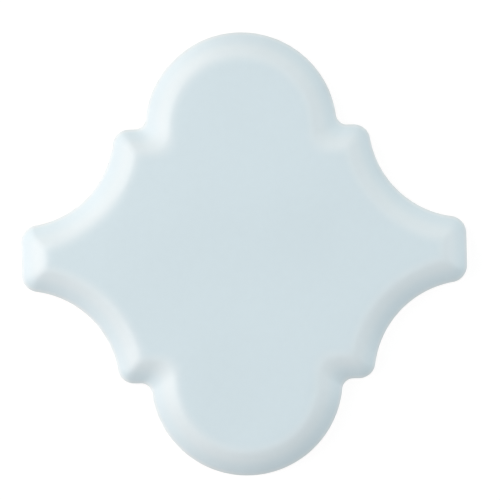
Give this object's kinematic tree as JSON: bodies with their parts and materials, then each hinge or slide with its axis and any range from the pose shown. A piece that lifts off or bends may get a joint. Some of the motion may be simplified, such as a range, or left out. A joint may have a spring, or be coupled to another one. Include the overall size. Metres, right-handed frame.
{
  "type": "moroccan arabesque tile",
  "caption": "Arabesque wall tile with round lobes, blunt horns and quarter-round bays, a bevelled glazed face and a keyed back.",
  "frame": {"origin": "centre of the back face, on the plane that lies on the adhesive", "axes": "+Z out of the glazed face, +Y towards one lobe, +X towards one horn"},
  "size_m": [0.12, 0.1194, 0.009],
  "materials": {
    "glaze": "satin"
  },
  "bodies": {
    "root": {"arabesque_tile": "glaze"}
  },
  "joints": []
}
